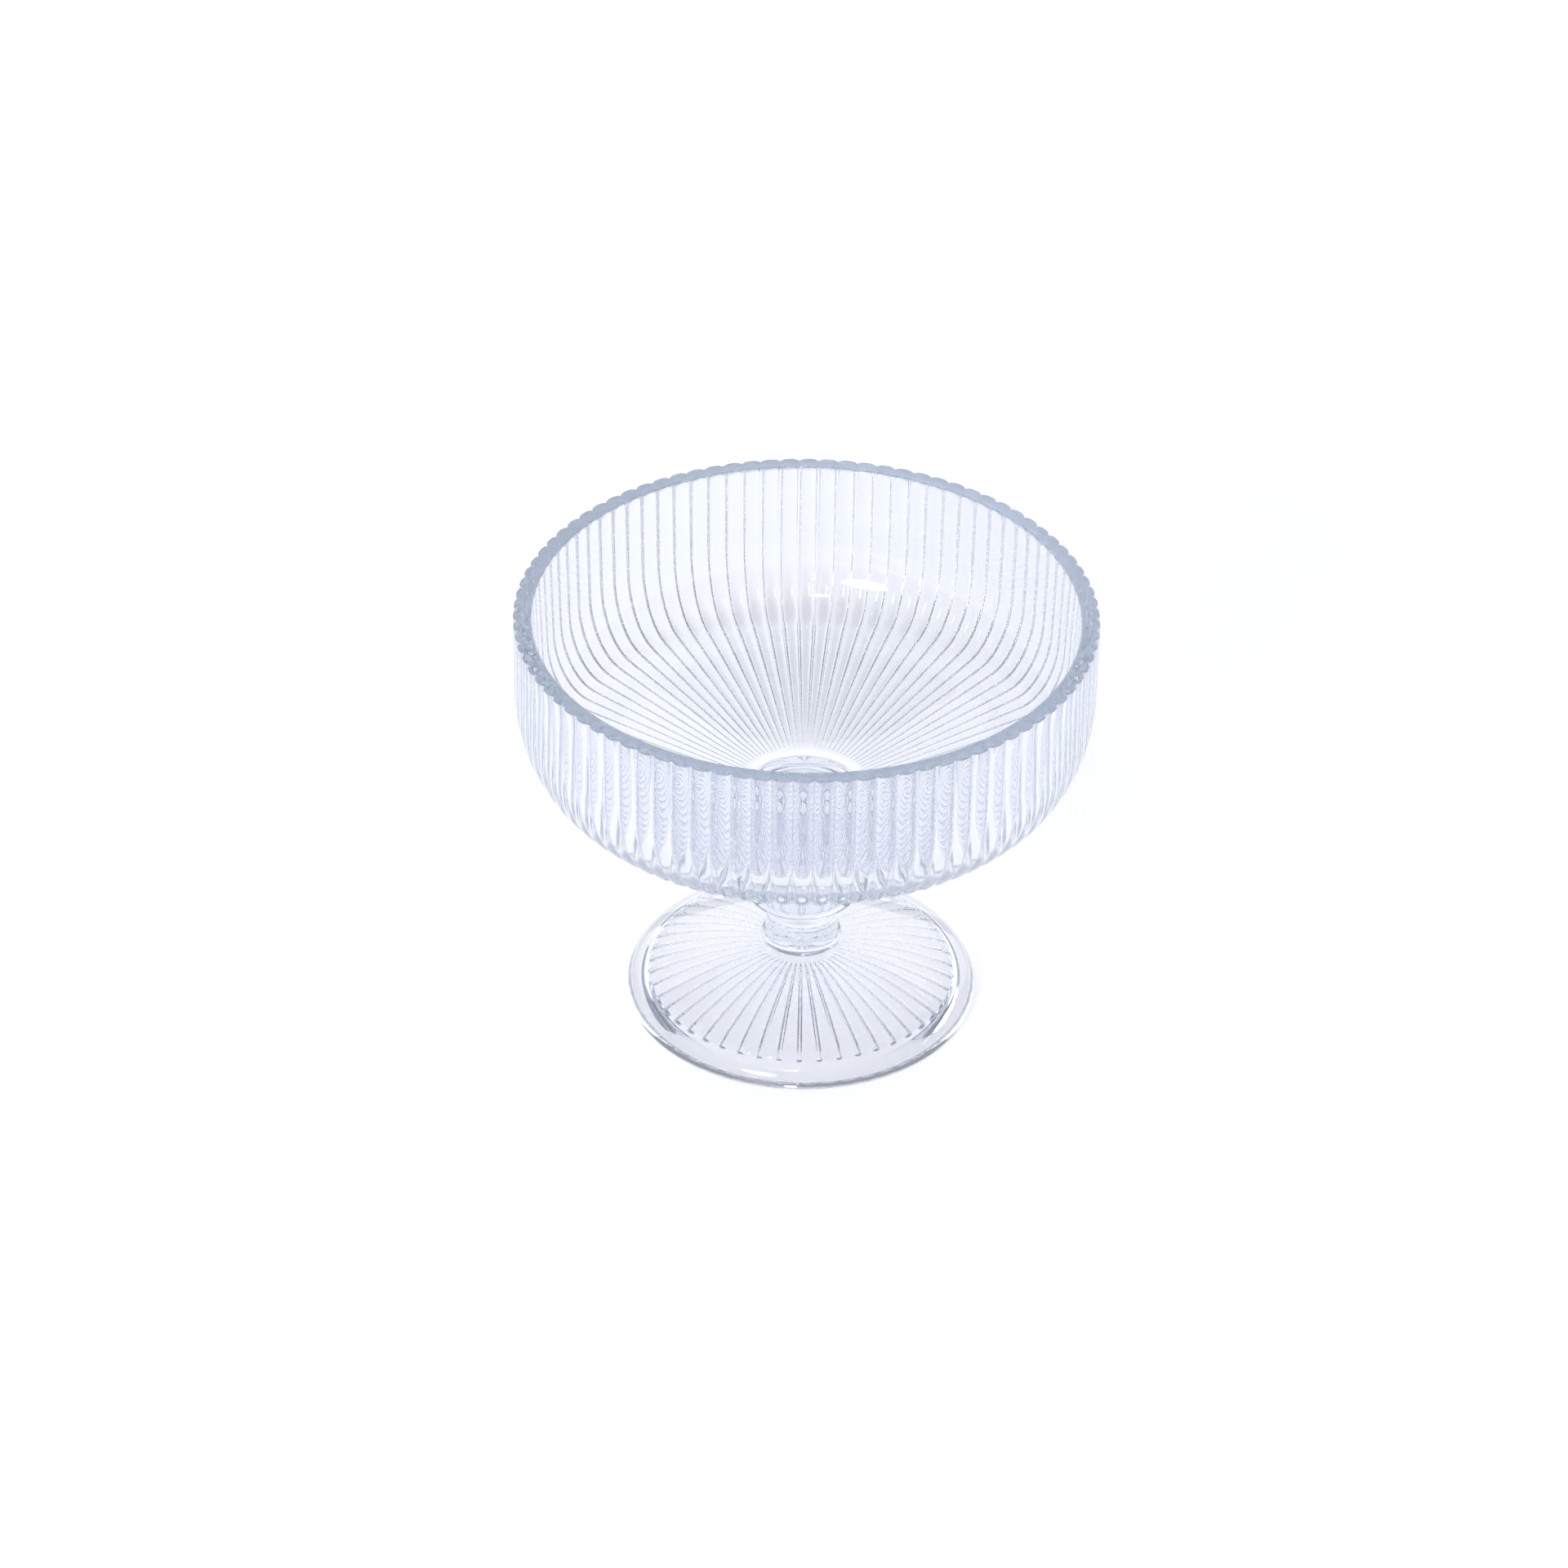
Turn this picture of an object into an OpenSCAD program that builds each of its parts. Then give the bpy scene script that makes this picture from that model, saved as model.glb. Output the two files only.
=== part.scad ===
// Footed dessert glass: a round bowl with fine upright ribs outside, on a
// short stem and a wide domed foot, pressed in one piece of clear glass.
// It stands on z = 0 with its axis on +Z. All sizes are in millimetres.

/* [Bowl] */
// Width of the bowl across its rib crests
bowl_d = 110; // [96:1:140]
// Height of the straight wall under the rim
wall_h = 15.5; // [6:0.5:30]
// Height of the rounded corner between the wall and the underside
corner_h = 19; // [14:0.5:28]
// Width of that rounded corner, measured along the radius
corner_w = 12.5; // [9:0.5:18]
// Slope of the bowl's underside and floor, in degrees
floor_slope = 14; // [4:1:18]
// Thickness of the wall from a rib crest to the inside
wall_t = 3.6; // [3:0.1:6]
// Thickness of the floor, measured upright
floor_t = 5.5; // [4:0.1:9]
// How far the inside narrows from the rim to the end of the straight wall
inside_draft = 0.6; // [0:0.1:1.5]

/* [Rim] */
// Softened outer edge of the flat rim
rim_outer_edge = 0.3; // [0.1:0.05:0.8]
// Softened inner edge of the flat rim
rim_inner_edge = 0.6; // [0.1:0.05:1]

/* [Ribs] */
// Number of ribs round the bowl
bowl_ribs = 90; // [48:2:96]
// Depth of the grooves between the ribs at the wall
bowl_rib_depth = 0.75; // [0.2:0.05:1]
// Number of ribs under the foot
foot_ribs = 48; // [24:2:60]
// Depth of the grooves between those ribs where they end
foot_rib_depth = 0.8; // [0.3:0.05:1.2]
// Width of the ring where those ribs end at the middle of the foot
plain_d = 14; // [10:0.5:24]
// How sharply all the ribs fall into their grooves: 2 is round, 4 is flat
rib_sharpness = 3; // [2:0.5:4]

/* [Stem] */
// Length of the stem, from the foot to the point of the bowl's underside
stem_h = 28.6; // [26:0.2:60]
// Width of the stem where it flares into the bowl's underside
flare_d = 25; // [23:0.5:44]
// Height of that flare
flare_h = 6; // [3:0.5:12]
// Width of the stem's column
column_d = 19; // [16:0.5:22]
// Width of the collar at the column's lower end
collar_d = 22.4; // [22.2:0.2:28]
// Height of the collar's widest line above the foot
collar_z = 11.6; // [9:0.2:14]
// Height of the collar's rounding above its widest line
collar_upper_h = 6; // [3:0.2:8]
// Height of the collar's rounding below its widest line
collar_lower_h = 2.6; // [1.5:0.1:3.5]
// Width of the narrow neck between the collar and the foot
neck_d = 13.8; // [8:0.2:15]
// Width of the stem where it meets the foot
shoulder_d = 17.8; // [15.6:0.2:24]
// Height of the curve from the neck out to that width
shoulder_h = 2.6; // [1:0.1:4]

/* [Foot] */
// Width of the foot
foot_d = 68; // [60:1:90]
// Height of the foot at the stem
foot_h = 12.9; // [11.5:0.1:18]
// Thickness of the foot's rounded outer edge
foot_edge_h = 4.8; // [2.6:0.1:5.5]
// Softened lower corner of that edge
foot_low_edge = 0.8; // [0.3:0.1:1.2]
// Slope of the foot's top where it meets its rounded edge, in degrees
foot_slope = 26; // [18:1:34]
// Height of the hollow under the foot
hollow_h = 7.6; // [5:0.1:8]
// Height of the plain wall round that hollow, where its ribs end
skirt_h = 3; // [1.5:0.1:3.6]
// How far that wall leans out on its way down
skirt_lean = 1; // [0.4:0.1:1.6]
// Width of the flat ring that the foot stands on
rest_ring_w = 3.2; // [1.8:0.1:4.4]

/* [Hidden] */

// Flats along one rib from groove to groove
rib_steps = 4;
// Steps along a curve of a turned profile
curve_steps = 8;
// Levels of ribbed facets down the bowl's rounded corner
corner_steps = 5;
// Levels of ribbed facets in the hollow of the foot
hollow_steps = 4;
// How steeply the hollow of the foot drops near its wall
hollow_bow = 3;
// How far a cutting shape reaches past the face that it opens
reach = 1;
// Sides of a turned shape
turned_sides = 180;

bowl_r = bowl_d / 2;
column_r = column_d / 2;
collar_r = collar_d / 2;
flare_r = flare_d / 2;
neck_r = neck_d / 2;
shoulder_r = shoulder_d / 2;
foot_r = foot_d / 2;
plain_r = plain_d / 2;
floor_rise = tan(floor_slope);

// Angle down an upright ellipse at which it has run out to a given rise
function run_out(w, h, rise) = atan(h / (w * rise));

// The rounded corner outside: its centre radius, its end and the levels
corner_c = bowl_r - corner_w;
corner_end = run_out(corner_w, corner_h, floor_rise);
corner_end_r = corner_c + corner_w * cos(corner_end);
under_apex_z = foot_h + stem_h;
wall_low_z = under_z(corner_end_r) + corner_h * sin(corner_end);
rim_z = wall_low_z + wall_h;

// The inside of the bowl
inside_top_r = bowl_r - wall_t;
inside_low_r = inside_top_r - inside_draft;
inside_w = inside_low_r - corner_c;
inside_h = corner_h - floor_t;
inside_end = run_out(inside_w, inside_h, floor_rise);
inside_end_r = corner_c + inside_w * cos(inside_end);
inside_end_z = wall_low_z - inside_h * sin(inside_end);
// Radius at which the floor's cone turns into its rounded middle
floor_round_r = corner_c / 2;

// The hollow of the foot
hollow_r = foot_r - foot_low_edge - rest_ring_w;
ribs_end_r = hollow_r - skirt_lean;

// Height of the bowl's underside at radius r
function under_z(r) = under_apex_z + r * floor_rise;

// Height of the rounded middle of the bowl's floor at radius r
function floor_z(r) =
    inside_end_z - (inside_end_r - floor_round_r) * floor_rise
        - floor_rise * (floor_round_r - r * r / floor_round_r) / 2;

// Height of the hollow of the foot at radius r, and its slope there
function hollow_z(r) = hollow_h - (hollow_h - skirt_h) * pow(r / ribs_end_r, hollow_bow);
function hollow_rise(r) =
    (hollow_h - skirt_h) * hollow_bow * pow(r / ribs_end_r, hollow_bow - 1) / ribs_end_r;

// Points along an upright ellipse of half-width w and half-height h
function sweep(c, w, h, from, to, steps) = [
    for (i = [0:steps])
        let (t = from + (to - from) * i / steps)
        [c[0] + w * cos(t), c[1] + h * sin(t)]
];

// Depth across one rib: 1 in the groove, 0 on the rounded crest
function groove(i) = pow(abs(2 * (i % rib_steps) / rib_steps - 1), rib_sharpness);

// One level of a ribbed skin: p is the radius and height of its crests,
// n the way that the glass faces there and d the depth of its grooves
function rib_level(p, n, d, ribs) = [
    for (i = [0:ribs * rib_steps - 1])
        let (
            a = 360 * i / (ribs * rib_steps),
            r = p[0] - n[0] * d * groove(i),
            z = p[1] - n[1] * d * groove(i)
        )
        [r * cos(a), r * sin(a), z]
];

// Closed solid through ribbed levels, given from the top one down
module ribbed_solid(rings) {
    m = len(rings[0]);
    last = (len(rings) - 1) * m;
    sides = [
        for (k = [0:len(rings) - 2])
            for (i = [0:m - 1])
                let (a = k * m, b = a + m, j = (i + 1) % m)
                each [[a + i, b + j, b + i], [a + i, a + j, b + j]]
    ];
    polyhedron(
        points = [for (ring = rings) each ring],
        faces = concat(
            [[for (i = [m - 1:-1:0]) i]],
            sides,
            [[for (i = [0:m - 1]) last + i]]
        ),
        convexity = 8
    );
}

// Outside of the bowl with its ribs, which run on past the flat rim
module bowl_outside() {
    c = [corner_c, wall_low_z];
    // The ribs run out inside the stem, past the end of its flare
    inner_r = (column_r + neck_r) / 2;
    function level(p, n) = rib_level(p, n, bowl_rib_depth * p[0] / bowl_r, bowl_ribs);
    ribbed_solid(concat(
        [
            level([bowl_r - rim_outer_edge - reach, rim_z + reach], [1, 0]),
            level([bowl_r, rim_z - rim_outer_edge], [1, 0])
        ],
        [
            for (i = [0:corner_steps])
                let (
                    t = -corner_end * i / corner_steps,
                    p = sweep(c, corner_w, corner_h, t, t, 1)[0]
                )
                level(p, [cos(t), sin(t)])
        ],
        [rib_level([inner_r, under_z(inner_r)], [0, 0], 0, bowl_ribs)]
    ));
}

// The bowl's inside, smooth all over, with the space above its flat rim
module bowl_inside() {
    floor_steps = curve_steps / 2;
    top_z = rim_z + 2 * reach;
    rotate_extrude($fn = turned_sides)
        polygon(concat(
            [[0, top_z], [bowl_r + reach, top_z], [bowl_r + reach, rim_z]],
            sweep(
                [inside_top_r + rim_inner_edge, rim_z - rim_inner_edge],
                rim_inner_edge, rim_inner_edge, 90, 180, 3
            ),
            sweep([corner_c, wall_low_z], inside_w, inside_h, 0, -inside_end, curve_steps),
            [
                for (i = [0:floor_steps])
                    let (r = floor_round_r * (1 - i / floor_steps))
                    [r, floor_z(r)]
            ]
        ));
}

// The stem, from the bowl's underside down to the foot, as an outline
function stem_outline() =
    let (
        flare_w = (flare_r - column_r) / (1 - sin(floor_slope)),
        flare_low_z = under_z(flare_r) + bowl_rib_depth - flare_h,
        widest = [neck_r, foot_h + collar_z],
        collar_top = acos((column_r - neck_r) / (collar_r - neck_r))
    )
    concat(
        sweep([column_r + flare_w, flare_low_z], flare_w, flare_h,
            90 + floor_slope, 180, curve_steps),
        sweep(widest, collar_r - neck_r, collar_upper_h, collar_top, 0, curve_steps / 2),
        sweep(widest, collar_r - neck_r, collar_lower_h, 0, -90, curve_steps / 2),
        sweep([shoulder_r, foot_h + shoulder_h], shoulder_r - neck_r, shoulder_h,
            180, 270, curve_steps / 2)
    );

// The foot's top from the stem out to its edge and down to the table
function foot_outline() =
    let (
        edge_r = foot_edge_h - foot_low_edge,
        c = [foot_r - edge_r, foot_low_edge],
        top_end = [c[0] + edge_r * sin(foot_slope), c[1] + edge_r * cos(foot_slope)],
        run = top_end[0] - shoulder_r,
        fall = foot_h - top_end[1],
        bow = tan(foot_slope) * run / fall
    )
    concat(
        [
            for (i = [1:curve_steps - 1])
                let (u = i / curve_steps)
                [shoulder_r + run * u, foot_h - fall * pow(u, bow)]
        ],
        sweep(c, edge_r, edge_r, 90 - foot_slope, 0, curve_steps),
        sweep([foot_r - foot_low_edge, foot_low_edge], foot_low_edge, foot_low_edge, 0, -90, 3)
    );

// The turned outside of the stem and foot
module stem_and_foot() {
    rotate_extrude($fn = turned_sides)
        polygon(concat(
            [[0, under_z(flare_r) + bowl_rib_depth]],
            stem_outline(),
            foot_outline(),
            [[0, 0]]
        ));
}

// The ribbed hollow under the foot
module foot_hollow() {
    function level(p, n) = rib_level(p, n, foot_rib_depth * p[0] / ribs_end_r, foot_ribs);
    function profile_level(r) =
        let (tilt = atan(hollow_rise(r)))
        level([r, hollow_z(r)], [-sin(tilt), -cos(tilt)]);
    // The wall runs on straight past the face that the foot stands on
    past_r = hollow_r + skirt_lean * reach / skirt_h;
    ribbed_solid(concat(
        [rib_level([plain_r, hollow_z(plain_r)], [0, 0], 0, foot_ribs)],
        [
            for (i = [1:hollow_steps])
                profile_level(plain_r + (ribs_end_r - plain_r) * i / hollow_steps)
        ],
        [rib_level([past_r, -reach], [0, 0], 0, foot_ribs)]
    ));
}

// The whole glass in one piece
module dessert_glass() {
    color([0.86, 0.9, 0.97, 0.5])
        difference() {
            union() {
                bowl_outside();
                stem_and_foot();
            }
            bowl_inside();
            foot_hollow();
        }
}

dessert_glass();
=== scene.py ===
"""A footed dessert glass in clear pressed glass, standing on a pale studio floor.

The glass is one turned shape. Its profile starts in the middle of the bowl's floor, goes up the
inside, over the rim and down the ribbed outside, along the stem and the foot, and in under the
foot. A geometry node tree turns that profile about the upright axis and presses both sets of ribs
into it.
"""

from dataclasses import dataclass
from math import acos, atan, cos, pi, radians, sin, tan

import bmesh
import bpy
from bpy.props import FloatProperty, FloatVectorProperty, IntProperty, PointerProperty
from mathutils import Matrix, Vector


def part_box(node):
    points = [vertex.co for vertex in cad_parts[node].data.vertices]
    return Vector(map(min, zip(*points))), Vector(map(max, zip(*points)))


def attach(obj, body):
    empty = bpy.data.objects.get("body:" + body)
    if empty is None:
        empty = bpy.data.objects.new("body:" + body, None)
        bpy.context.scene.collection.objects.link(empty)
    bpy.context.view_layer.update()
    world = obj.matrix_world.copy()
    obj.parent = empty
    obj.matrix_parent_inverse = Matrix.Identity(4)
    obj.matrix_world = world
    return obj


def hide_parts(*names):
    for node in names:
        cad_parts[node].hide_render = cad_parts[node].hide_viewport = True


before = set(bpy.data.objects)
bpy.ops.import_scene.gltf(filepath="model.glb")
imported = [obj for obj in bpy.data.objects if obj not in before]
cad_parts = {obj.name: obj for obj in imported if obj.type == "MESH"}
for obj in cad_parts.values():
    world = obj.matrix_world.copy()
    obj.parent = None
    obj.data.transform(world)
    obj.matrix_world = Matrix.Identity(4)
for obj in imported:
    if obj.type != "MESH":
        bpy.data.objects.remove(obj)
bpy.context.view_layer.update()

bl_info = {
    "name": "Footed dessert glass",
    "version": (1, 0, 0),
    "blender": (4, 5, 0),
    "location": "View3D > Sidebar > Dessert glass",
    "description": "Turns a ribbed dessert glass and sets up a studio round it",
    "category": "Add Mesh",
}

NODE = "dessert_glass"
BODY = "root"
LOWEST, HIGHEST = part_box(NODE)
PHOTO_SIDE = 1920

# How many steps each curve and straight of the profile takes, from the bowl's floor to the hollow
FLOOR_MIDDLE_STEPS, FLOOR_STEPS = 6, 3
INNER_CORNER_STEPS, INNER_WALL_STEPS = 12, 3
INNER_EDGE_STEPS, OUTER_EDGE_STEPS = 3, 4
WALL_STEPS, CORNER_STEPS = 4, 14
UNDERSIDE_STEPS, UNDERSIDE_FADE_STEPS = 5, 3
FLARE_STEPS, COLLAR_STEPS, SHOULDER_STEPS = 8, 6, 6
DOME_STEPS, FOOT_EDGE_STEPS, LOW_EDGE_STEPS = 9, 8, 3
HOLLOW_STEPS, HOLLOW_FADE_STEPS, HOLLOW_MIDDLE_STEPS = 12, 3, 3

# Where the flat rim and the plain wall of the hollow get rings of their own, as shares of them
RIM_SUPPORTS = (0.1, 0.5, 0.9)
SKIRT_SUPPORTS = (0.05, 0.35, 0.7, 0.95)

# Where the grooves begin to fade on their way in, as a multiple of the radius where they end
UNDERSIDE_FADE = 1.06
HOLLOW_FADE = 1.1

# Points that lie closer than this are one point
MERGE_DISTANCE = 1e-6

# The rim's finish begins, and is full, this far under the top of the rim
RIM_FINISH_START, RIM_FINISH_FULL = 0.0003, 0.00005

# Scale and detail of each fine pattern, and how dark its grain gets or how high its ripples are
RIM_GRAIN, RIM_GRAIN_TONE = (2600, 3), 0.8
FLOOR_GRAIN, FLOOR_GRAIN_TONE = (40, 2), 0.99
RIPPLES, RIPPLE_HEIGHT = (90, 2), 0.0004

# The room's colours, by height above the horizon, and its strength
ROOM_TONES = ((0.0, (0.22, 0.26, 0.34)), (0.2, (0.44, 0.48, 0.57)), (0.7, (0.82, 0.85, 0.91)))
ROOM_STRENGTH = 0.36

# Each soft lamp's name, place, size, watts and shape, and where all of them point
LAMPS = (
    ("back_softbox", (0, 1.3, 0.7), (2.4, 1.15), 8, "RECTANGLE"),
    ("key_softbox", (-0.41, -0.86, 0.47), (0.36, 0.28), 2.8, "ELLIPSE"),
    ("front_spot", (-0.07, -0.55, 0.86), (0.12, 0.12), 0.6, "DISK"),
)
LAMP_TARGET = (0, 0, 0.05)

# Light that is trapped in the ribs and the foot's edge takes many bounces to get out
CLEAR_BOUNCES, DIFFUSE_BOUNCES = 64, 4

CAMERA_CLIP = (0.05, 50)


def length(name, description, default):
    """A size in metres that a user may change."""
    return FloatProperty(
        name=name,
        description=description,
        default=default,
        min=0,
        precision=5,
        subtype="DISTANCE",
        unit="LENGTH",
    )


def angle(name, description, degrees):
    """An angle that a user may change, given here in degrees."""
    return FloatProperty(
        name=name,
        description=description,
        default=radians(degrees),
        subtype="ANGLE",
        unit="ROTATION",
    )


def number(name, description, default):
    """A plain number that a user may change."""
    return FloatProperty(name=name, description=description, default=default, precision=3)


def colour(name, description, default):
    """A colour that a user may change."""
    return FloatVectorProperty(
        name=name,
        description=description,
        default=default,
        min=0,
        max=1,
        size=3,
        subtype="COLOR",
    )


class BowlSizes(bpy.types.PropertyGroup):
    """Sizes of the ribbed bowl."""

    width: length("Width", "Across the rib crests", HIGHEST.y - LOWEST.y)
    wall_height: length("Wall height", "Straight wall under the rim", 0.0155)
    corner_height: length("Corner height", "Rounded corner between wall and underside", 0.019)
    corner_width: length("Corner width", "The same corner, along the radius", 0.0125)
    slope: angle("Slope", "Slope of the underside and the floor", 14)
    wall: length("Wall", "Thickness of the wall at a rib crest", 0.0036)
    floor: length("Floor", "Thickness of the floor, measured upright", 0.0055)
    draft: length("Draft", "How far the inside narrows down the straight wall", 0.0006)
    rim_outer_edge: length("Outer rim edge", "Softening of the rim's outer edge", 0.0003)
    rim_inner_edge: length("Inner rim edge", "Softening of the rim's inner edge", 0.0006)
    ribs: IntProperty(name="Ribs", description="Ribs round the bowl", default=90, min=3)
    groove: length("Groove", "Depth of the grooves between the ribs at the wall", 0.00075)


class StemSizes(bpy.types.PropertyGroup):
    """Sizes of the stem between the bowl and the foot."""

    flare_width: length("Flare width", "Where the stem flares into the underside", 0.025)
    flare_height: length("Flare height", "Height of that flare", 0.006)
    column_width: length("Column width", "Width of the upper column", 0.019)
    collar_width: length("Collar width", "Width of the rounded collar", 0.0224)
    collar_place: length("Collar place", "Its widest line above the foot", 0.0116)
    collar_upper: length("Collar upper half", "Height of its rounding above that line", 0.006)
    collar_lower: length("Collar lower half", "Height of its rounding below that line", 0.0026)
    neck_width: length("Neck width", "Narrowest part of the stem", 0.0138)
    shoulder_width: length("Shoulder width", "Where the stem meets the foot", 0.0178)
    shoulder_height: length("Shoulder height", "Height of the curve into the foot", 0.0026)


class FootSizes(bpy.types.PropertyGroup):
    """Sizes of the domed foot and the ribs under it."""

    width: length("Width", "Across the foot", 0.068)
    height: length("Height", "Height of the foot at the stem", 0.0129)
    edge_height: length("Edge height", "Thickness of the rounded outer edge", 0.0048)
    low_edge: length("Low edge", "Softened lower corner of that edge", 0.0008)
    slope: angle("Slope", "Slope of the top where it meets the edge", 26)
    hollow: length("Hollow", "Height of the hollow under the foot", 0.0076)
    hollow_bow: number("Hollow bow", "How steeply the hollow drops near its wall", 3)
    skirt: length("Skirt", "Height of the plain wall round the hollow, where its ribs end", 0.003)
    skirt_lean: length("Skirt lean", "How far that wall leans out on its way down", 0.001)
    rest_ring: length("Rest ring", "Width of the flat ring that it stands on", 0.0032)
    ribs: IntProperty(name="Ribs", description="Ribs under the foot", default=48, min=3)
    groove: length("Groove", "Depth of their grooves where they end", 0.0008)
    plain_width: length("Plain width", "Width of the ring where the ribs end", 0.014)


class MeshDetail(bpy.types.PropertyGroup):
    """How finely the glass is turned."""

    columns: IntProperty(name="Columns", description="Faces round the glass", default=720, min=24)
    groove_crowding: number("Groove crowding", "How closely faces crowd into the grooves", 0.5)
    rib_sharpness: number("Rib sharpness", "How sharply all the ribs fall into their grooves", 3)


class GlassFinish(bpy.types.PropertyGroup):
    """Colour and finish of the glass."""

    tint: colour("Tint", "Colour that light takes at the surface", (0.912, 0.922, 0.967))
    depth_tint: colour("Depth tint", "Colour that light takes inside the glass", (0.76, 0.84, 0.95))
    depth_density: number("Depth density", "How fast it takes that colour, for each metre", 9)
    ior: number("Index of refraction", "How strongly the glass bends light", 1.5)
    rim_colour: colour("Rim colour", "Colour of the flat rim", (0.69, 0.73, 0.8))
    rim_roughness: number("Rim roughness", "Roughness of the flat rim", 0.05)
    polish: number("Polish", "Roughness of the fire-polished skin", 0.01)
    waviness: number("Waviness", "Height of the slow ripples in the pressed skin", 0.15)


class StudioSetup(bpy.types.PropertyGroup):
    """Camera, lights and floor."""

    camera_distance: length("Camera distance", "From the middle of the glass", 1.087)
    camera_elevation: angle("Camera elevation", "Above the horizon", 35.37)
    camera_roll: angle("Camera roll", "Turn about the line of sight", 0.8)
    lens: number("Lens", "Focal length in millimetres on a 36 mm sensor", 130.27)
    middle_x: number("Middle, across", "The glass's middle, in pixels of the photograph", 984.3)
    middle_y: number("Middle, down", "The glass's middle, in pixels of the photograph", 982.6)
    floor_side: length("Floor side", "Side of the pale floor", 8)
    floor_gap: length("Floor gap", "How far the floor lies under the foot", 0.00005)
    floor_colour: colour("Floor colour", "Colour of the pale floor", (0.93, 0.94, 0.97))
    floor_glow: number("Floor glow", "How brightly the floor is lit from below", 0.58)
    # A painted pool of light, added to the floor's glow in a soft spot under the foot
    pool: number("Light pool", "Extra glow of a soft spot under the foot", 0.13)
    pool_back: length("Light pool, back", "How far back its middle lies", 0.018)
    pool_inner: length("Light pool, inside", "Radius up to which it is even", 0.01)
    pool_outer: length("Light pool, outside", "Radius at which it ends", 0.05)
    # A painted shadow, taken from the floor's glow in a soft spot behind the glass
    shade: number("Soft shade", "Glow taken from a soft spot behind the glass", 0.2)
    shade_back: length("Soft shade, back", "How far back its middle lies", 0.1)
    shade_squeeze: number("Soft shade, squeeze", "Its width as a share of its length", 0.6)
    shade_inner: length("Soft shade, inside", "Half width up to which it is even", 0.005)
    shade_outer: length("Soft shade, outside", "Half width at which it ends", 0.032)


def steps(start, end, count):
    """Evenly spaced values from start to end, both included."""
    return [start + (end - start) * i / count for i in range(count + 1)]


def arc(centre, half_width, half_height, start, end, count):
    """Points (r, z) along an upright ellipse between two angles."""
    r, z = centre
    return [(r + half_width * cos(t), z + half_height * sin(t)) for t in steps(start, end, count)]


@dataclass
class Ring:
    """One ring of the turned glass: its crest, and how far a groove goes in there as (r, z)."""

    r: float
    z: float
    bowl_cut: tuple = (0.0, 0.0)
    foot_cut: tuple = (0.0, 0.0)


def plain_rings(points):
    """Rings without grooves."""
    return [Ring(r, z) for r, z in points]


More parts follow.
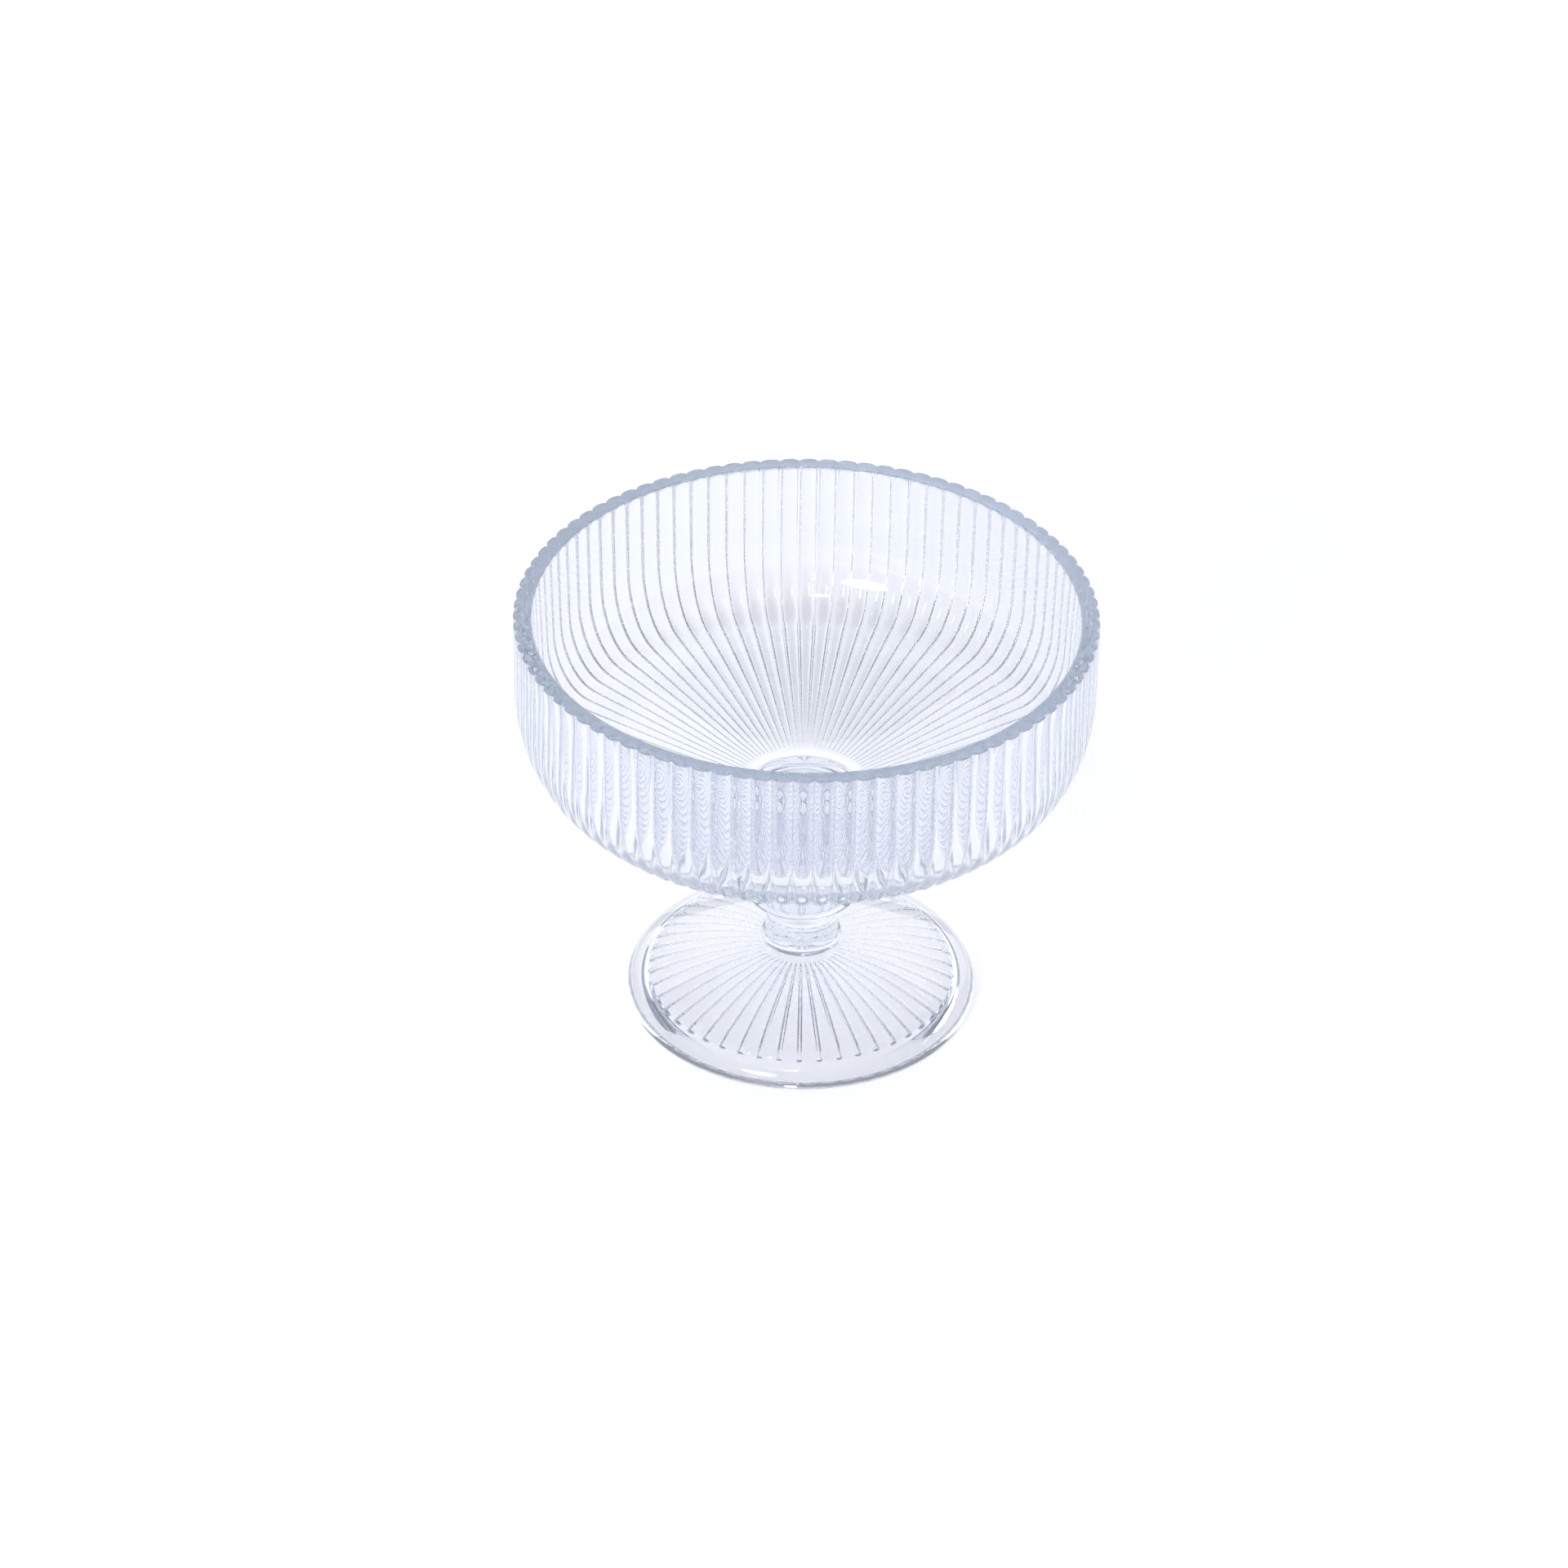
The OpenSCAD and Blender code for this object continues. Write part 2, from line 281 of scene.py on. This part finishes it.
class BowlShape:
    """The places that follow from the bowl's sizes, from the rim down."""

    def __init__(self, bowl):
        self.sizes = bowl
        self.outer_r = bowl.width / 2
        self.rim_z = HIGHEST.z
        self.wall_low_z = self.rim_z - bowl.wall_height
        self.rise = tan(bowl.slope)
        self.corner_r = self.outer_r - bowl.corner_width
        self.corner_end = self.run_out(bowl.corner_width, bowl.corner_height)
        self.under_start_r = self.corner_r + bowl.corner_width * cos(self.corner_end)
        self.under_start_z = self.wall_low_z - bowl.corner_height * sin(self.corner_end)
        self.inner_top_r = self.outer_r - bowl.wall
        self.inner_width = self.inner_top_r - bowl.draft - self.corner_r
        self.inner_height = bowl.corner_height - bowl.floor
        self.inner_end = self.run_out(self.inner_width, self.inner_height)
        self.floor_end_r = self.corner_r + self.inner_width * cos(self.inner_end)
        self.floor_end_z = self.wall_low_z - self.inner_height * sin(self.inner_end)
        self.floor_round_r = self.corner_r / 2

    def run_out(self, half_width, half_height):
        """Angle down an ellipse at which it runs out to the slope of the floor."""
        return atan(half_height / (half_width * self.rise))

    def under_z(self, r):
        """Height of the underside at radius r."""
        return self.under_start_z - (self.under_start_r - r) * self.rise

    def floor_z(self, r):
        """Height of the floor at radius r: a cone with a rounded middle."""
        cone = self.floor_end_z - (self.floor_end_r - max(r, self.floor_round_r)) * self.rise
        inner = min(r, self.floor_round_r)
        return cone - self.rise * (self.floor_round_r - inner**2 / self.floor_round_r) / 2

    def inside(self):
        """The smooth inside, from the middle of the floor up to the rim."""
        edge = self.sizes.rim_inner_edge
        middle = steps(0, self.floor_round_r, FLOOR_MIDDLE_STEPS)
        cone = steps(self.floor_round_r, self.floor_end_r, FLOOR_STEPS)
        floor = [(r, self.floor_z(r)) for r in middle + cone[1:]]
        corner = arc(
            (self.corner_r, self.wall_low_z),
            self.inner_width,
            self.inner_height,
            -self.inner_end,
            0,
            INNER_CORNER_STEPS,
        )
        wall_radii = steps(corner[-1][0], self.inner_top_r, INNER_WALL_STEPS)
        wall_heights = steps(self.wall_low_z, self.rim_z - edge, INNER_WALL_STEPS)
        wall = list(zip(wall_radii, wall_heights))
        centre = (self.inner_top_r + edge, self.rim_z - edge)
        rounding = arc(centre, edge, edge, pi, pi / 2, INNER_EDGE_STEPS)
        return plain_rings(floor + corner[1:] + wall[1:] + rounding[1:])

    def rim(self):
        """The flat rim, out to its scalloped edge."""
        s = self.sizes
        edge = s.rim_outer_edge
        flat_start = self.inner_top_r + s.rim_inner_edge
        flat_end = self.outer_r - edge - s.groove
        radii = [flat_start + (flat_end - flat_start) * share for share in RIM_SUPPORTS]
        flat = plain_rings([(r, self.rim_z) for r in radii])
        centre = (self.outer_r - edge, self.rim_z - edge)
        rounding = arc(centre, edge, edge, pi / 2, 0, OUTER_EDGE_STEPS)
        return flat + [Ring(r, z, bowl_cut=(s.groove, 0)) for r, z in rounding]

    def outside(self, flare_r):
        """The ribbed outside, down the wall, round the corner and in to the stem."""
        s = self.sizes
        depth = s.groove / self.outer_r
        wall = [
            Ring(self.outer_r, z, bowl_cut=(s.groove, 0))
            for z in steps(self.rim_z - s.rim_outer_edge, self.wall_low_z, WALL_STEPS)[1:]
        ]
        corner = []
        for t in steps(0, self.corner_end, CORNER_STEPS)[1:]:
            r = self.corner_r + s.corner_width * cos(t)
            z = self.wall_low_z - s.corner_height * sin(t)
            corner.append(Ring(r, z, bowl_cut=(depth * r * cos(t), -depth * r * sin(t))))
        under = []
        fade_r = flare_r * UNDERSIDE_FADE
        radii = steps(self.under_start_r, fade_r, UNDERSIDE_STEPS)[1:]
        radii += steps(fade_r, flare_r, UNDERSIDE_FADE_STEPS)[1:]
        for r in radii:
            left = min(1, (r - flare_r) / (fade_r - flare_r))
            cut = depth * r * left
            bowl_cut = (cut * sin(s.slope), -cut * cos(s.slope))
            under.append(Ring(r, self.under_z(r), bowl_cut=bowl_cut))
        return wall + corner + under


def stem_rings(stem, foot_height, bowl_shape):
    """The turned stem, from the bowl's underside down to the foot."""
    flare_r, column_r = stem.flare_width / 2, stem.column_width / 2
    collar_r, neck_r = stem.collar_width / 2, stem.neck_width / 2
    shoulder_r = stem.shoulder_width / 2

    slope = bowl_shape.sizes.slope
    flare_half = (flare_r - column_r) / (1 - sin(slope))
    flare_low_z = bowl_shape.under_z(flare_r) - stem.flare_height * cos(slope)
    flare_centre = (column_r + flare_half, flare_low_z)
    flare_start = pi / 2 + slope
    flare = arc(flare_centre, flare_half, stem.flare_height, flare_start, pi, FLARE_STEPS)

    widest = (neck_r, foot_height + stem.collar_place)
    reach = collar_r - neck_r
    collar_top = acos((column_r - neck_r) / reach)
    upper = arc(widest, reach, stem.collar_upper, collar_top, 0, COLLAR_STEPS)
    lower = arc(widest, reach, stem.collar_lower, 0, -pi / 2, COLLAR_STEPS)

    centre = (shoulder_r, foot_height + stem.shoulder_height)
    half_width = shoulder_r - neck_r
    shoulder = arc(centre, half_width, stem.shoulder_height, pi, 1.5 * pi, SHOULDER_STEPS)
    return plain_rings(flare[1:] + upper + lower[1:] + shoulder)


def foot_top_rings(foot, shoulder_r):
    """The smooth domed top of the foot, round its edge and down to the rest ring."""
    foot_r = foot.width / 2
    edge_r = foot.edge_height - foot.low_edge
    centre = (foot_r - edge_r, foot.low_edge)
    top_end = (centre[0] + edge_r * sin(foot.slope), centre[1] + edge_r * cos(foot.slope))
    run = top_end[0] - shoulder_r
    fall = foot.height - top_end[1]
    bow = tan(foot.slope) * run / fall
    shares = steps(0, 1, DOME_STEPS)[1:-1]
    dome = [(shoulder_r + run * u, foot.height - fall * u**bow) for u in shares]
    edge = arc(centre, edge_r, edge_r, pi / 2 - foot.slope, 0, FOOT_EDGE_STEPS)
    low_r = foot.low_edge
    low = arc((foot_r - low_r, low_r), low_r, low_r, 0, -pi / 2, LOW_EDGE_STEPS)
    return plain_rings(dome + edge + low[1:])


def foot_hollow_rings(foot):
    """The rest ring, the plain wall and the ribbed hollow under the foot, in to its middle."""
    hollow_r = foot.width / 2 - foot.low_edge - foot.rest_ring
    ribs_end_r = hollow_r - foot.skirt_lean
    plain_r = foot.plain_width / 2
    rise = foot.hollow - foot.skirt

    def crest_z(r):
        return foot.hollow - rise * (r / ribs_end_r) ** foot.hollow_bow

    def cut_at(r, depth):
        tilt = atan(rise * foot.hollow_bow * (r / ribs_end_r) ** (foot.hollow_bow - 1) / ribs_end_r)
        return (-depth * sin(tilt), -depth * cos(tilt))

    rest = [(hollow_r + foot.rest_ring / 2, 0), (hollow_r, 0)]
    wall = [(hollow_r - foot.skirt_lean * share, foot.skirt * share) for share in SKIRT_SUPPORTS]
    rings = plain_rings(rest + wall)
    fade_r = plain_r * HOLLOW_FADE
    ribbed = steps(ribs_end_r, fade_r, HOLLOW_STEPS)
    ribbed += steps(fade_r, plain_r, HOLLOW_FADE_STEPS)[1:]
    for r in ribbed:
        left = min(1, (r - plain_r) / (fade_r - plain_r))
        depth = foot.groove * left * r / ribs_end_r
        rings.append(Ring(r, crest_z(r), foot_cut=cut_at(r, depth)))
    middle = steps(plain_r, 0, HOLLOW_MIDDLE_STEPS)[1:]
    return rings + plain_rings([(r, crest_z(r)) for r in middle])


def glass_rings(scene):
    """Every ring of the glass, from the middle of the bowl's floor to the middle of the hollow."""
    bowl = BowlShape(scene.bowl_sizes)
    stem = scene.stem_sizes
    foot = scene.foot_sizes
    return (
        bowl.inside()
        + bowl.rim()
        + bowl.outside(stem.flare_width / 2)
        + stem_rings(stem, foot.height, bowl)
        + foot_top_rings(foot, stem.shoulder_width / 2)
        + foot_hollow_rings(foot)
    )


def profile_mesh(rings):
    """The rings as a line of points, which carry their grooves as attributes."""
    mesh = bpy.data.meshes.new("glass_profile")
    lines = [(i, i + 1) for i in range(len(rings) - 1)]
    mesh.from_pydata([(ring.r, 0, ring.z) for ring in rings], lines, [])
    for name in ("bowl_cut", "foot_cut"):
        layer = mesh.attributes.new(name, "FLOAT_VECTOR", "POINT")
        for place, ring in zip(layer.data, rings):
            cut = getattr(ring, name)
            place.vector = (cut[0], 0, cut[1])
    return mesh


# A Mix node has sockets of the same name for each kind of value, so its colours go by number
MIX_FIRST, MIX_SECOND, MIX_RESULT = 6, 7, 2


class NodeChain:
    """Short ways to add nodes to a tree and to join them."""

    def __init__(self, tree):
        self.tree = tree

    def add(self, kind, inputs=None, **settings):
        """One node. An input is a value, or another node's output that feeds it."""
        node = self.tree.nodes.new(kind)
        for name, value in settings.items():
            setattr(node, name, value)
        for name, value in (inputs or {}).items():
            socket = node.inputs[name]
            if isinstance(value, bpy.types.NodeSocket):
                self.tree.links.new(value, socket)
            else:
                socket.default_value = value
        return node

    def math(self, operation, *values):
        """A number worked out from numbers."""
        return self.add("ShaderNodeMath", dict(enumerate(values)), operation=operation).outputs[0]

    def vector_math(self, operation, first, second):
        """A vector worked out from two vectors."""
        node = self.add("ShaderNodeVectorMath", {0: first, 1: second}, operation=operation)
        return node.outputs["Vector"]

    def scaled(self, vector, factor):
        """A vector times a number."""
        inputs = {"Vector": vector, "Scale": factor}
        return self.add("ShaderNodeVectorMath", inputs, operation="SCALE").outputs["Vector"]

    def vector_length(self, vector):
        """How long a vector is."""
        node = self.add("ShaderNodeVectorMath", {0: vector}, operation="LENGTH")
        return node.outputs["Value"]

    def noise(self, place, scale, detail):
        """A fine uneven pattern of numbers from 0 to 1."""
        inputs = {"Vector": place, "Scale": scale, "Detail": detail}
        return self.add("ShaderNodeTexNoise", inputs).outputs["Fac"]

    def grained(self, place, grain, tone, darkest):
        """A colour with a fine grain, which multiplies it by the factor darkest at most."""
        dark_tone = [channel * darkest for channel in tone]
        return self.mixed(self.noise(place, *grain), dark_tone, tone)

    def mixed(self, share, first, second):
        """Two colours mixed. Each is three numbers, or another node's output."""
        tones = [t if isinstance(t, bpy.types.NodeSocket) else (*t, 1) for t in (first, second)]
        inputs = {"Factor": share, MIX_FIRST: tones[0], MIX_SECOND: tones[1]}
        return self.add("ShaderNodeMix", inputs, data_type="RGBA").outputs[MIX_RESULT]

    def smooth_range(self, value, start, end, first, last):
        """A number that goes smoothly from first to last while value goes from start to end."""
        inputs = {"Value": value, "From Min": start, "From Max": end}
        inputs |= {"To Min": first, "To Max": last}
        return self.add("ShaderNodeMapRange", inputs, interpolation_type="SMOOTHSTEP").outputs[0]


TREE_INPUTS = (
    ("Columns", "NodeSocketInt"),
    ("Groove Crowding", "NodeSocketFloat"),
    ("Bowl Ribs", "NodeSocketInt"),
    ("Foot Ribs", "NodeSocketInt"),
    ("Rib Sharpness", "NodeSocketFloat"),
    ("Glass", "NodeSocketMaterial"),
)


def ribbed_lathe_tree():
    """A tree that turns a profile about the upright axis and presses two sets of ribs into it."""
    tree = bpy.data.node_groups.new("ribbed_lathe", "GeometryNodeTree")
    tree.interface.new_socket("Profile", in_out="INPUT", socket_type="NodeSocketGeometry")
    for name, kind in TREE_INPUTS:
        tree.interface.new_socket(name, in_out="INPUT", socket_type=kind)
    tree.interface.new_socket("Glass body", in_out="OUTPUT", socket_type="NodeSocketGeometry")
    chain = NodeChain(tree)
    given = chain.add("NodeGroupInput").outputs

    profile = {"Geometry": given["Profile"]}
    size = chain.add("GeometryNodeAttributeDomainSize", profile, component="MESH")
    rings = size.outputs["Point Count"]
    seam_column = chain.math("ADD", given["Columns"], 1)
    grid = chain.add("GeometryNodeMeshGrid", {"Vertices X": rings, "Vertices Y": seam_column})
    index = chain.add("GeometryNodeInputIndex").outputs[0]
    ring = chain.math("FLOOR", chain.math("DIVIDE", index, seam_column))
    column = chain.math("SUBTRACT", index, chain.math("MULTIPLY", ring, seam_column))
    share = chain.math("DIVIDE", column, given["Columns"])

    def at_ring(value):
        """The profile's own value at this ring."""
        inputs = {"Geometry": given["Profile"], "Value": value, "Index": ring}
        node = chain.add("GeometryNodeSampleIndex", inputs, data_type="FLOAT_VECTOR")
        return node.outputs["Value"]

    def named(name):
        """A vector that the profile's points carry."""
        kind = "GeometryNodeInputNamedAttribute"
        return chain.add(kind, {"Name": name}, data_type="FLOAT_VECTOR").outputs[0]

    crest = at_ring(chain.add("GeometryNodeInputPosition").outputs[0])
    bowl_cut = at_ring(named("bowl_cut"))
    foot_cut = at_ring(named("foot_cut"))

    def groove(place):
        """How deep a rib is at its place from 0 to 1: 1 in the grooves and 0 on its crest."""
        across = chain.math("ABSOLUTE", chain.math("MULTIPLY_ADD", place, 2, -1))
        return chain.math("POWER", across, given["Rib Sharpness"])

    rib_place = chain.math("MULTIPLY", share, given["Bowl Ribs"])
    in_rib = chain.math("FRACT", rib_place)
    wave = chain.math("SINE", chain.math("MULTIPLY", in_rib, 2 * pi))
    pull = chain.math("MULTIPLY", wave, chain.math("DIVIDE", given["Groove Crowding"], 2 * pi))
    has_ribs = chain.math("GREATER_THAN", chain.vector_length(bowl_cut), 0)
    crowded = chain.math("SUBTRACT", in_rib, pull)
    moved = chain.math("DIVIDE", chain.math("MULTIPLY", pull, has_ribs), given["Bowl Ribs"])
    turn = chain.math("MULTIPLY", chain.math("SUBTRACT", share, moved), 2 * pi)
    foot_place = chain.math("FRACT", chain.math("MULTIPLY", share, given["Foot Ribs"]))
    bowl_groove = chain.scaled(bowl_cut, groove(crowded))
    foot_groove = chain.scaled(foot_cut, groove(foot_place))
    pressed = chain.vector_math("SUBTRACT", crest, bowl_groove)
    pressed = chain.vector_math("SUBTRACT", pressed, foot_groove)
    inputs = {"Vector": pressed, "Angle": turn}
    turned = chain.add("ShaderNodeVectorRotate", inputs, rotation_type="Z_AXIS").outputs[0]

    body = grid.outputs["Mesh"]
    for kind, inputs in (
        ("GeometryNodeSetPosition", {"Position": turned}),
        ("GeometryNodeMergeByDistance", {"Distance": MERGE_DISTANCE}),
        ("GeometryNodeSetShadeSmooth", {}),
        ("GeometryNodeRealizeInstances", {}),
        ("GeometryNodeSetMaterial", {"Material": given["Glass"]}),
    ):
        body = chain.add(kind, {"Geometry": body, **inputs}).outputs[0]
    chain.add("NodeGroupOutput", {"Glass body": body})
    return tree


def empty_nodes(owner):
    """Empties the node tree of a material or a world, and gives the means to fill it."""
    owner.use_nodes = True
    owner.node_tree.nodes.clear()
    return NodeChain(owner.node_tree)


def glass_material(finish):
    """Clear glass with a faint blue depth, a slightly wavy skin and a duller flat rim."""
    material = bpy.data.materials.new("clear_pressed_glass")
    chain = empty_nodes(material)
    place = chain.add("ShaderNodeTexCoord").outputs["Object"]
    height = chain.add("ShaderNodeSeparateXYZ", {0: place}).outputs["Z"]
    start, full = HIGHEST.z - RIM_FINISH_START, HIGHEST.z - RIM_FINISH_FULL
    on_rim = chain.smooth_range(height, start, full, 0, 1)
    rim_tone = chain.grained(place, RIM_GRAIN, finish.rim_colour, RIM_GRAIN_TONE)
    tone = chain.mixed(on_rim, finish.tint, rim_tone)
    rougher = finish.rim_roughness - finish.polish
    roughness = chain.math("MULTIPLY_ADD", on_rim, rougher, finish.polish)
    ripples = chain.noise(place, *RIPPLES)
    skin_inputs = {"Height": ripples, "Strength": finish.waviness, "Distance": RIPPLE_HEIGHT}
    skin = chain.add("ShaderNodeBump", skin_inputs).outputs[0]
    shader = chain.add(
        "ShaderNodeBsdfPrincipled",
        {
            "Base Color": tone,
            "Roughness": roughness,
            "IOR": finish.ior,
            "Transmission Weight": 1,
            "Normal": skin,
        },
    ).outputs[0]
    depth_inputs = {"Color": (*finish.depth_tint, 1), "Density": finish.depth_density}
    depth = chain.add("ShaderNodeVolumeAbsorption", depth_inputs).outputs[0]
    chain.add("ShaderNodeOutputMaterial", {"Surface": shader, "Volume": depth})
    return material


def set_tree_inputs(modifier, values):
    """Sets a modifier's inputs by their names, through the identifiers of their sockets."""
    for item in modifier.node_group.interface.items_tree:
        if item.item_type == "SOCKET" and item.in_out == "INPUT" and item.name in values:
            modifier[item.identifier] = values[item.name]


def as_plain_mesh(piece):
    """Turns what the modifiers make into the piece's own mesh, closed and facing outwards."""
    graph = bpy.context.evaluated_depsgraph_get()
    mesh = bpy.data.meshes.new_from_object(piece.evaluated_get(graph))
    piece.modifiers.clear()
    piece.data = mesh
    body = bmesh.new()
    body.from_mesh(mesh)
    bmesh.ops.remove_doubles(body, verts=body.verts, dist=MERGE_DISTANCE)
    bmesh.ops.dissolve_degenerate(body, edges=body.edges, dist=MERGE_DISTANCE)
    bmesh.ops.recalc_face_normals(body, faces=body.faces)
    if body.calc_volume(signed=True) < 0:
        bmesh.ops.reverse_faces(body, faces=body.faces)
    open_edges = [e for e in body.edges if len(e.link_faces) != 2]
    if open_edges:
        raise RuntimeError(f"the glass isn't closed: {len(open_edges)} edges lack a second face")
    body.to_mesh(mesh)
    body.free()
    glass = next(m for m in mesh.materials if m)
    mesh.materials.clear()
    mesh.materials.append(glass)
    mesh.polygons.foreach_set("material_index", [0] * len(mesh.polygons))


class GLASS_OT_make_glass(bpy.types.Operator):
    """Turn and rib the dessert glass, and give it its finish"""

    bl_idname = "glass.make_glass"
    bl_label = "Make the glass"

    def execute(self, context):
        scene = context.scene
        detail = scene.mesh_detail
        piece = bpy.data.objects.new("ribbed_glass", profile_mesh(glass_rings(scene)))
        scene.collection.objects.link(piece)
        modifier = piece.modifiers.new("ribbed lathe", "NODES")
        modifier.node_group = ribbed_lathe_tree()
        set_tree_inputs(
            modifier,
            {
                "Columns": detail.columns,
                "Groove Crowding": detail.groove_crowding,
                "Bowl Ribs": scene.bowl_sizes.ribs,
                "Foot Ribs": scene.foot_sizes.ribs,
                "Rib Sharpness": detail.rib_sharpness,
                "Glass": glass_material(scene.glass_finish),
            },
        )
        as_plain_mesh(piece)
        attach(piece, BODY)
        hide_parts(NODE)
        return {"FINISHED"}


def soft_lamp(scene, name, place, size, watts, shape):
    """One soft white lamp, aimed at the glass."""
    lamp = bpy.data.lights.new(name, "AREA")
    lamp.shape = shape
    lamp.size, lamp.size_y = size
    lamp.energy = watts
    holder = bpy.data.objects.new(name, lamp)
    scene.collection.objects.link(holder)
    turn = (Vector(LAMP_TARGET) - Vector(place)).to_track_quat("-Z", "Y")
    holder.matrix_world = Matrix.Translation(place) @ turn.to_matrix().to_4x4()


def studio_world(scene):
    """A pale room that darkens softly towards the horizon."""
    world = bpy.data.worlds.new("pale_room")
    scene.world = world
    chain = empty_nodes(world)
    way = chain.add("ShaderNodeTexCoord").outputs["Generated"]
    up = chain.add("ShaderNodeSeparateXYZ", {0: way}).outputs["Z"]
    ramp = chain.add("ShaderNodeValToRGB", {0: up})
    stops = ramp.color_ramp.elements
    stops.remove(stops[1])
    for index, (position, tone) in enumerate(ROOM_TONES):
        stop = stops.new(position) if index else stops[0]
        stop.color = (*tone, 1)
    room = {"Color": ramp.outputs[0], "Strength": ROOM_STRENGTH}
    light = chain.add("ShaderNodeBackground", room).outputs[0]
    chain.add("ShaderNodeOutputWorld", {"Surface": light})


def soft_spot(chain, place, back, squeeze, radii, strength):
    """A value that has a strength in a soft spot on the floor, and is 0 outside it."""
    to_spot = {"Vector": place, "Location": (0, -back * squeeze, 0), "Scale": (1, squeeze, 1)}
    away = chain.vector_length(chain.add("ShaderNodeMapping", to_spot).outputs[0])
    return chain.smooth_range(away, *radii, strength, 0)


def floor_material(studio):
    """A matt pale floor that glows evenly, with a painted pool of light under the foot and a
    painted shadow behind the glass.
    """
    material = bpy.data.materials.new("pale_floor")
    chain = empty_nodes(material)
    place = chain.add("ShaderNodeTexCoord").outputs["Object"]
    tone = chain.grained(place, FLOOR_GRAIN, studio.floor_colour, FLOOR_GRAIN_TONE)
    # Painted pool of light under the foot
    pool_radii = (studio.pool_inner, studio.pool_outer)
    pool = soft_spot(chain, place, studio.pool_back, 1, pool_radii, studio.pool)
    # Painted shadow behind the glass
    shade_radii = (studio.shade_inner, studio.shade_outer)
    shade = soft_spot(
        chain, place, studio.shade_back, studio.shade_squeeze, shade_radii, -studio.shade
    )
    glow = chain.math("ADD", chain.math("ADD", pool, shade), studio.floor_glow)
    matt = chain.add(
        "ShaderNodeBsdfPrincipled",
        {
            "Base Color": tone,
            "Roughness": 1,
            "Specular IOR Level": 0,
            "Emission Color": (1, 1, 1, 1),
            "Emission Strength": glow,
        },
    ).outputs[0]
    chain.add("ShaderNodeOutputMaterial", {"Surface": matt})
    return material


class GLASS_OT_make_studio(bpy.types.Operator):
    """Lay the pale floor and hang the soft lamps"""

    bl_idname = "glass.make_studio"
    bl_label = "Make the studio"

    def execute(self, context):
        scene = context.scene
        studio = scene.studio_setup
        half, z = studio.floor_side / 2, -studio.floor_gap
        corners = [(-half, -half, z), (half, -half, z), (half, half, z), (-half, half, z)]
        mesh = bpy.data.meshes.new("studio_floor")
        mesh.from_pydata(corners, [], [(0, 1, 2, 3)])
        mesh.materials.append(floor_material(studio))
        floor = bpy.data.objects.new("studio_floor", mesh)
        scene.collection.objects.link(floor)
        studio_world(scene)
        for lamp in LAMPS:
            soft_lamp(scene, *lamp)
        scene.view_settings.view_transform = "Standard"
        scene.cycles.max_bounces = CLEAR_BOUNCES
        scene.cycles.transmission_bounces = CLEAR_BOUNCES
        scene.cycles.glossy_bounces = CLEAR_BOUNCES
        scene.cycles.diffuse_bounces = DIFFUSE_BOUNCES
        return {"FINISHED"}


class GLASS_OT_place_camera(bpy.types.Operator):
    """Set the camera at the photograph's viewing angle"""

    bl_idname = "glass.place_camera"
    bl_label = "Place the camera"

    def execute(self, context):
        scene = context.scene
        studio = scene.studio_setup
        lens = bpy.data.cameras.new("photo_camera")
        lens.lens = studio.lens
        lens.clip_start, lens.clip_end = CAMERA_CLIP
        camera = bpy.data.objects.new("photo_camera", lens)
        scene.collection.objects.link(camera)
        scene.camera = camera

        tilt = studio.camera_elevation
        onward = Vector((0, cos(tilt), -sin(tilt)))
        across = Vector((1, 0, 0))
        upward = Vector((0, sin(tilt), cos(tilt)))
        target = Vector((0, 0, HIGHEST.z / 2))
        place = target - onward * studio.camera_distance
        pixels = PHOTO_SIDE * studio.lens / lens.sensor_width
        right = (studio.middle_x - PHOTO_SIDE / 2) / pixels
        down = (studio.middle_y - PHOTO_SIDE / 2) / pixels
        sight = (onward - across * right + upward * down).normalized()
        turn = sight.to_track_quat("-Z", "Y").to_matrix().to_4x4()
        roll = Matrix.Rotation(studio.camera_roll, 4, "Z")
        camera.matrix_world = Matrix.Translation(place) @ turn @ roll
        return {"FINISHED"}


class GLASS_PT_panel(bpy.types.Panel):
    """The dessert glass in the sidebar"""

    bl_label = "Dessert glass"
    bl_space_type = "VIEW_3D"
    bl_region_type = "UI"
    bl_category = "Dessert glass"

    def draw(self, context):
        layout = self.layout
        for name, group in SETTINGS.items():
            box = layout.box()
            box.label(text=group.__doc__.rstrip("."))
            settings = getattr(context.scene, name)
            for field in group.__annotations__:
                box.prop(settings, field)
        for operator in OPERATORS:
            layout.operator(operator.bl_idname)


SETTINGS = {
    "bowl_sizes": BowlSizes,
    "stem_sizes": StemSizes,
    "foot_sizes": FootSizes,
    "mesh_detail": MeshDetail,
    "glass_finish": GlassFinish,
    "studio_setup": StudioSetup,
}
OPERATORS = (GLASS_OT_place_camera, GLASS_OT_make_glass, GLASS_OT_make_studio)


def register():
    """Adds the settings, the operators and the panel."""
    for group in SETTINGS.values():
        bpy.utils.register_class(group)
    for name, group in SETTINGS.items():
        setattr(bpy.types.Scene, name, PointerProperty(type=group))
    for operator in OPERATORS:
        bpy.utils.register_class(operator)
    bpy.utils.register_class(GLASS_PT_panel)


def unregister():
    """Takes them away again."""
    bpy.utils.unregister_class(GLASS_PT_panel)
    for operator in reversed(OPERATORS):
        bpy.utils.unregister_class(operator)
    for name, group in reversed(SETTINGS.items()):
        delattr(bpy.types.Scene, name)
        bpy.utils.unregister_class(group)


def main():
    """Makes the whole scene."""
    register()
    bpy.ops.glass.place_camera()
    bpy.ops.glass.make_glass()
    bpy.ops.glass.make_studio()


if __name__ == "__main__":
    main()
